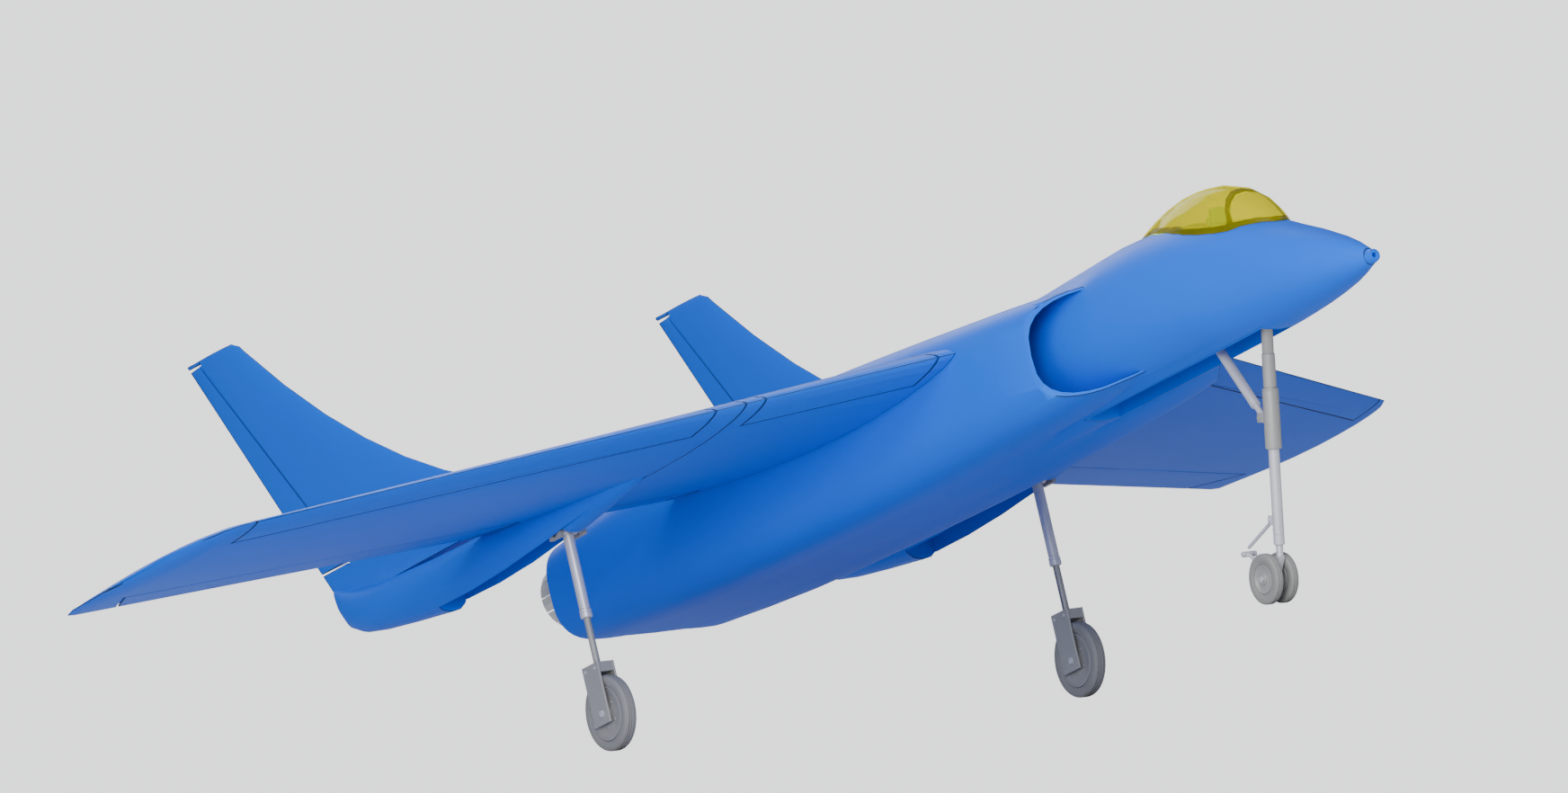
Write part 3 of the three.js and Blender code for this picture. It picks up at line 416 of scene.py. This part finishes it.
def carryOver(node, angle, rounding, seam):
    piece = nodeCopy(node, node + "_finished")
    finishPiece(piece, slotOf[node], bodyOf[node], [node])
    if seam:
        piece.data.materials.append(materials["seam_dark"])
    if rounding:
        markRidges(piece)
        applyModifier(piece, "BEVEL", width=rounding, segments=1 if seam else 2, limit_method="WEIGHT",
                      use_clamp_overlap=not seam, material=1 if seam else -1)
    smooth(piece, angle)
    piece.modifiers.new("evenNormals", "WEIGHTED_NORMAL").keep_sharp = True


for group in shells.values():
    for base in group["nodes"]:
        for node in [base] if base in frame["nodes"] else [f"{base}_{hand}" for hand in hands]:
            carryOver(node, group["angle"], group["round"], group.get("seam", False))
print("shells carried over")


# spaces to model in

def spaceAt(origin, up):
    # x to port, y aft and z up, in millimetres
    up = Vector(up)
    return Matrix.Translation(Vector(origin)) @ Matrix((across, up.cross(across), up)).transposed().to_4x4() \
        @ Matrix.Scale(0.001, 4)


legSpace = spaceAt(jointOf["nose_retract_hinge"]["pos_m"], legUp)
noseHinge = Vector(jointOf["nose_retract_hinge"]["pos_m"])
hingeStation = 174   # the nose leg's hinge, aft of the nose tip
airSpace = spaceAt(noseHinge - aftward * hingeStation * 0.001, upward)
mainSpace = {hand: spaceAt(jointOf[f"main_retract_{hand}_hinge"]["pos_m"], upward) for hand in hands}


def placeIn(piece, space):
    # the mesh is moved into its place on the aircraft, so its object stays at the origin
    activate(piece)
    piece.matrix_world = space @ piece.matrix_world
    bpy.ops.object.transform_apply(location=True, rotation=True, scale=True)
    bpy.ops.object.mode_set(mode="EDIT")
    bpy.ops.mesh.select_all(action="SELECT")
    bpy.ops.mesh.remove_doubles(threshold=0.000002)
    bpy.ops.mesh.normals_make_consistent(inside=False)
    bpy.ops.object.mode_set(mode="OBJECT")


def joinAll(name, pieces):
    deselectAll()
    for piece in pieces:
        piece.select_set(True)
    bpy.context.view_layer.objects.active = pieces[0]
    bpy.ops.object.join()
    pieces[0].name = name
    return pieces[0]


def stand(piece, place, axis):
    # moved to its place with its own z along the axis
    piece.matrix_world = Matrix.Translation(Vector(place)) @ \
        Vector((0, 0, 1)).rotation_difference(Vector(axis)).to_matrix().to_4x4()
    bpy.ops.object.transform_apply(location=True, rotation=True, scale=True)
    return piece


def selectTop(piece):
    # edit mode, with only the upward faces selected
    bpy.ops.object.mode_set(mode="EDIT")
    bpy.ops.mesh.select_all(action="DESELECT")
    shape = bmesh.from_edit_mesh(piece.data)
    for face in shape.faces:
        face.select = face.normal.z > 0.9
    bmesh.update_edit_mesh(piece.data)


def turned(profile, centre=(0, 0, 0), axis=(0, 0, 1), steps=48):
    # a closed [radius, along] outline spun round an axis
    deselectAll()
    bpy.ops.mesh.primitive_circle_add(vertices=len(profile), radius=1)
    piece = bpy.context.object
    bpy.ops.object.mode_set(mode="EDIT")
    outline = bmesh.from_edit_mesh(piece.data)
    for vertex, (radius, along) in zip(outline.verts, profile):
        vertex.co = (radius, 0, along)
    bmesh.update_edit_mesh(piece.data)
    bpy.ops.mesh.select_all(action="SELECT")
    bpy.ops.mesh.spin(steps=steps, angle=2 * math.pi, center=(0, 0, 0), axis=(0, 0, 1))
    bpy.ops.mesh.select_all(action="SELECT")
    bpy.ops.mesh.remove_doubles(threshold=0.0005)
    bpy.ops.object.mode_set(mode="OBJECT")
    return stand(piece, centre, axis)


def block(low, high, rounding=0.6, segments=2, lean=0, narrow=1):
    # a rounded block; lean slides its top aft and narrow draws its top in
    deselectAll()
    low, high = Vector(low), Vector(high)
    bpy.ops.mesh.primitive_cube_add(size=1, location=(low + high) / 2, scale=high - low)
    piece = bpy.context.object
    bpy.ops.object.transform_apply(location=True, rotation=True, scale=True)
    selectTop(piece)
    bpy.ops.transform.resize(value=(narrow, 1, 1), center_override=((low.x + high.x) / 2, low.y, high.z))
    bpy.ops.transform.translate(value=(0, lean, 0))
    bpy.ops.mesh.select_all(action="SELECT")
    bpy.ops.mesh.bevel(offset=rounding, segments=segments, affect="EDGES")
    bpy.ops.object.mode_set(mode="OBJECT")
    return piece


def hexBolt(place, axis, radius=1.6, height=1.1):
    # a hexagon head with a sunk socket
    deselectAll()
    bpy.ops.mesh.primitive_cylinder_add(vertices=6, radius=radius, depth=height, location=(0, 0, height / 2))
    piece = bpy.context.object
    bpy.ops.object.transform_apply(location=True, rotation=True, scale=True)
    selectTop(piece)
    bpy.ops.mesh.inset(thickness=radius * 0.12, depth=height * 0.08)
    bpy.ops.mesh.inset(thickness=radius * 0.3, depth=0)
    bpy.ops.mesh.extrude_region_move(TRANSFORM_OT_translate={"value": (0, 0, -height * 0.5)})
    bpy.ops.object.mode_set(mode="OBJECT")
    return stand(piece, place, axis)


def finishGroup(name, parts, space, slot, body, replaced=(), angle=35):
    piece = joinAll(name, parts)
    placeIn(piece, space)
    smooth(piece, angle)
    finishPiece(piece, slot, body, replaced)
    return piece


# wheels

wheels = {
    "main": {"grooves": (-0.42, 0, 0.42), "grooveDeep": 0.7, "grooveWide": 0.45, "bolts": 5, "boltRing": 0.52,
             "boss": 6, "axle": 2.8, "dish": 1.5, "steps": 96},
    "nose": {"grooves": (-0.36, 0.36), "grooveDeep": 0.55, "grooveWide": 0.4, "bolts": 0, "boltRing": 0.5,
             "boss": 4.6, "axle": 2.5, "dish": 1.0, "steps": 72},
}


def halfSize(low, high, side):
    return (high[side] - low[side]) * 500   # half a box side, from metres to millimetres


def tyreOutline(radius, bead, half, look):
    # sidewall, shoulder, grooved crown, and back
    wide, deep = look["grooveWide"], look["grooveDeep"]
    crown = [(-0.98, 2.1), (-0.86, 0.9), (-0.7, 0.3)]
    for middle in look["grooves"]:
        edge = wide / half
        crown += [(middle - edge, 0.02), (middle - edge * 0.7, deep)]
        crown += [(middle + edge * 0.7, deep), (middle + edge, 0.02)]
    crown += [(0.7, 0.3), (0.86, 0.9), (0.98, 2.1)]
    side = [(bead, -half * 0.72), (bead + 0.5, -half * 0.86), (bead + 1.4, -half * 0.84),
            (bead + 2, -half * 0.94), (radius - 4, -half)]
    outer = [(radius - drop, along * half) for along, drop in crown]
    return side + outer + [(r, -along) for r, along in reversed(side)]


def hubOutline(rim, half, look):
    # bore, boss, dished web and raised rim lip, the same on both faces
    boss, bore, dish = look["boss"], look["axle"], look["dish"]
    web = -half + dish
    face = [(bore, -half), (boss - 0.4, -half), (boss, -half + 0.4), (boss, web + 0.2),
            (boss + 0.8, web + 0.6), (rim * 0.74, web + 0.6), (rim * 0.8, web), (rim - 1.6, web),
            (rim - 1.3, -half + 0.5), (rim - 0.9, -half + 0.3), (rim - 0.2, -half + 0.5),
            (rim - 0.05, -half + 1.1)]
    return face + [(r, -along) for r, along in reversed(face)]


def addWheel(kind, hand):
    look = wheels[kind]
    spin = jointOf[f"{kind}_wheel_{hand}_spin"]
    centre, body = Vector(spin["pos_m"]), spin["child"]
    low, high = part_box(f"{kind}_tyre_{hand}")
    hubLow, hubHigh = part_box(f"{kind}_hub_{hand}")
    radius, half = halfSize(low, high, 2), halfSize(low, high, 0)
    rim, hubHalf = halfSize(hubLow, hubHigh, 2), halfSize(hubLow, hubHigh, 0)
    centre.x = (low[0] + high[0]) / 2
    space = spaceAt(centre, upward)
    tyre = turned(tyreOutline(radius, rim + 0.15, half, look), axis=(1, 0, 0), steps=look["steps"])
    finishGroup(f"{kind}TyreGrooved_{hand}", [tyre], space, "tyre_grey", body, [f"{kind}_tyre_{hand}"])
    parts = [turned(hubOutline(rim, hubHalf, look), axis=(1, 0, 0), steps=look["steps"])]
    for index in range(look["bolts"]):
        turn = 2 * math.pi * index / look["bolts"]
        ring = rim * look["boltRing"]
        for outward in (1, -1):
            place = (outward * (hubHalf - look["dish"] - 0.75), ring * math.cos(turn), ring * math.sin(turn))
            parts.append(hexBolt(place, (outward, 0, 0), 1.2, 0.9))
    finishGroup(f"{kind}HubDished_{hand}", parts, space, "gear_grey", body, [f"{kind}_hub_{hand}"])


for kind in wheels:
    for hand in hands:
        addWheel(kind, hand)
print("wheels done")


# legs

mainLeg = {"tube": 4.75, "bore": 3.3, "top": 3, "foot": -77, "gland": 5.3, "glandTall": 7, "trunnion": 4,
           "trunnionHalf": 9, "steps": 48}
forkBolts = {"pair": (3.5, 39.5)}   # middle of each side's upper pair, from the axle
noseLeg = {"steps": 56, "trunnion": 4, "trunnionHalf": 13, "brace": (12, -88), "axle": (11.2, -223.3)}
noseStrut = {"tube": 4.7, "bore": 3.3, "top": -80, "foot": -195, "socket": -168, "link": (7, -174)}


def pinOutline(radius, half):
    # a pin along its axis with chamfered ends
    return [(0.01, -half), (radius - 0.5, -half), (radius, -half + 0.5), (radius, half - 0.5),
            (radius - 0.5, half), (0.01, half)]


def addMainLeg(hand):
    look = mainLeg
    tube, bore, foot, gland = look["tube"], look["bore"], look["foot"], look["gland"]
    rim = foot + look["glandTall"]
    outline = [(bore, look["top"]), (tube - 0.6, look["top"]), (tube, look["top"] - 0.6), (tube, rim + 1.2),
               (tube - 0.3, rim + 1), (tube - 0.3, rim + 0.4), (gland, rim), (gland, rim - 1.4),
               (gland - 0.35, rim - 1.7), (gland - 0.35, rim - 2.3), (gland, rim - 2.6), (gland, foot + 0.6),
               (gland - 0.6, foot), (bore, foot)]
    pin = pinOutline(look["trunnion"], look["trunnionHalf"])
    parts = [turned(outline, steps=look["steps"]), turned(pin, axis=(1, 0, 0), steps=look["steps"])]
    finishGroup(f"mainLegTube_{hand}", parts, mainSpace[hand], "bright_metal", f"main_leg_{hand}_body",
                [f"main_leg_{hand}"])


def addForkBolts(hand):
    low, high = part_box(f"main_fork_{hand}")
    axle = Vector(jointOf[f"main_wheel_{hand}_spin"]["pos_m"])
    space = spaceAt(axle, upward)
    reach = halfSize(low, high, 0) - 0.05   # bolts start just inside the side plates
    aftShift, up = forkBolts["pair"]
    parts = []
    for outward in (1, -1):
        parts.append(hexBolt((outward * reach, 0, 0), (outward, 0, 0), 3.1, 1.6))
        for aft in (-8, 8):
            parts.append(hexBolt((outward * reach, aft + aftShift, up), (outward, 0, 0), 1.5, 1))
    finishGroup(f"forkBolts_{hand}", parts, space, "bright_metal", f"main_fork_{hand}_body")


def addNoseLeg():
    look = noseLeg
    outline = [(4.9, -75), (4.9, -113.6), (5.4, -114), (6.4, -114), (7, -113.2), (7, -66), (6.7, -65.2),
               (6.7, -64.6), (7, -64), (6.6, -63), (5.3, -62.7), (5.3, -62.1), (5.6, -61.8), (5.6, -34.2),
               (5.3, -33.9), (4.8, -33.5), (4.8, -32.9), (5, -32.6), (5, 5.2), (4.4, 6), (0.01, 6),
               (0.01, -75)]
    pin = pinOutline(look["trunnion"], look["trunnionHalf"])
    parts = [turned(outline, steps=look["steps"]), turned(pin, axis=(1, 0, 0), steps=look["steps"])]
    aft, down = look["brace"]
    for side in (-4.1, 4.1):   # two lugs for the drag brace
        parts.append(block((side - 1, 4, down - 4), (side + 1, aft + 3, down + 4), 0.5))
        parts.append(hexBolt((side + math.copysign(0.95, side), aft, down), (side, 0, 0), 2.2, 0.9))
    finishGroup("noseLegBarrel", parts, legSpace, "gear_grey", "nose_leg_body", ["nose_leg"])


def addNoseStrut():
    look = noseStrut
    tube, bore, foot, top, socket = look["tube"], look["bore"], look["foot"], look["top"], look["socket"]
    outline = [(bore, socket), (bore, foot), (tube - 0.8, foot), (tube, foot + 0.8), (tube, foot + 8),
               (tube - 0.25, foot + 8.3), (tube - 0.25, foot + 8.9), (tube, foot + 9.2), (tube, top - 0.5),
               (tube - 0.5, top), (0.01, top), (0.01, socket)]
    parts = [turned(outline, steps=noseLeg["steps"])]
    aft, down = look["link"]
    for side in (-3, 3):   # two lugs for the upper torque link
        parts.append(block((side - 1, 3, down - 4), (side + 1, aft + 2, down + 4), 0.5))
        parts.append(hexBolt((side + math.copysign(0.95, side), aft, down), (side, 0, 0), 1.7, 0.8))
    finishGroup("noseStrutTube", parts, legSpace, "bright_metal", "nose_strut_body", ["nose_strut"])
    aft, down = noseLeg["axle"]
    nuts = [hexBolt((side * 12.2, aft, down), (side, 0, 0), 2.7, 0.9) for side in (-1, 1)]
    finishGroup("noseAxleNuts", nuts, legSpace, "bright_metal", "nose_axle_body")


for hand in hands:
    addMainLeg(hand)
    addForkBolts(hand)
addNoseLeg()
addNoseStrut()
print("legs done")


# nose ring, cockpit

noseRing = {"radii": (2.2, 5.4, 6.2), "front": -1, "back": 5.7, "height": 1.5, "steps": 48}
seat = {"half": 13, "rail": 2.2, "strut": 6, "pads": 4, "padFoot": 57, "padStep": 7.4, "padTall": 6}
panel = {
    "half": 18, "face": 163.6,
    "dials": ((-10, 66, 3.2), (0, 67, 3.6), (10, 66, 3.2), (-5.5, 58.5, 2.2), (5.5, 58.5, 2.2)),
}
stick = {"foot": (0, 176, 44), "lean": (0, 0.1, 1)}


def addNoseRing():
    bore, front, outer = noseRing["radii"]
    start, end = noseRing["front"], noseRing["back"]
    outline = [(bore, start + 0.3), (bore + 0.3, start), (front - 1.2, start), (front - 1.0, start + 0.35),
               (front - 0.7, start + 0.35), (front - 0.5, start), (front, start + 0.3),
               (outer - 0.4, start + 2.6), (outer, start + 4), (outer, end), (bore, end)]
    ring = turned(outline, (0, 0, noseRing["height"]), (0, 1, 0), noseRing["steps"])
    finishGroup("noseRingTurned", [ring], airSpace, "hull_blue", "airframe", ["nose_ring"])


def addSeat():
    half = seat["half"]
    parts = [   # cushion, back and headrest
        block((-half + 2, 179, 47), (half - 2, 208, 56), 2.2, 4),
        block((-half + 1, 204, 52), (half - 1, 214, 88), 2.4, 4, lean=3, narrow=0.86),
        block((-half + 5, 205.5, 88), (half - 5, 214, 103), 2.6, 4, lean=1.5, narrow=0.8),
    ]
    for side in (-1, 1):
        inner, outer = sorted((side * half, side * (half - seat["rail"])))
        parts.append(block((inner, 181, 45), (outer, 216, 62), 0.8, 3, lean=2))
        strut = side * seat["strut"]
        parts.append(block((strut - 1, 214, 50), (strut + 1, 219, 96), 0.6, 2, lean=1))
    for row in range(seat["pads"]):
        foot = seat["padFoot"] + row * seat["padStep"]
        parts.append(block((-half + 3.5, 203.2, foot), (half - 3.5, 206, foot + seat["padTall"]), 1.2, 3))
    finishGroup("seatPadded", parts, airSpace, "cockpit_green", "airframe", ["pilot_seat"], 45)


def addPanel():
    half, face = panel["half"], panel["face"]
    parts = [block((-half, 154, 47), (half, face, 71), 1.4, 3, narrow=0.84),
             block((-half + 2, 152.4, 70), (half - 2, 167, 73), 1.2, 3, narrow=0.9),
             block((-3.4, 158, 46.2), (3.4, 172, 52), 1.2, 3, narrow=0.8)]
    for x, z, radius in panel["dials"]:
        bezel = [(radius - 0.7, 0), (radius - 0.5, 0.8), (radius, 0.8), (radius + 0.2, 0),
                 (radius + 0.2, -0.8), (0.01, -0.8), (0.01, 0.2), (radius - 0.8, 0.2)]
        parts.append(turned(bezel, (x, face, z), (0, 1, 0), 24))
    finishGroup("panelWithDials", parts, airSpace, "black_plastic", "airframe", ["instrument_panel"], 40)


def addStick():
    # base plate, thin shaft and a swelling grip
    outline = [(0.01, 0), (2.6, 0), (3, 0.6), (1.4, 2.2), (0.9, 3), (0.9, 12), (1.5, 13), (1.8, 16),
               (1.7, 19), (1.2, 20.5), (0.01, 21)]
    grip = turned(outline, stick["foot"], stick["lean"], 24)
    finishGroup("controlStick", [grip], airSpace, "black_plastic", "airframe")


addNoseRing()
addSeat()
addPanel()
addStick()
print("cockpit done")
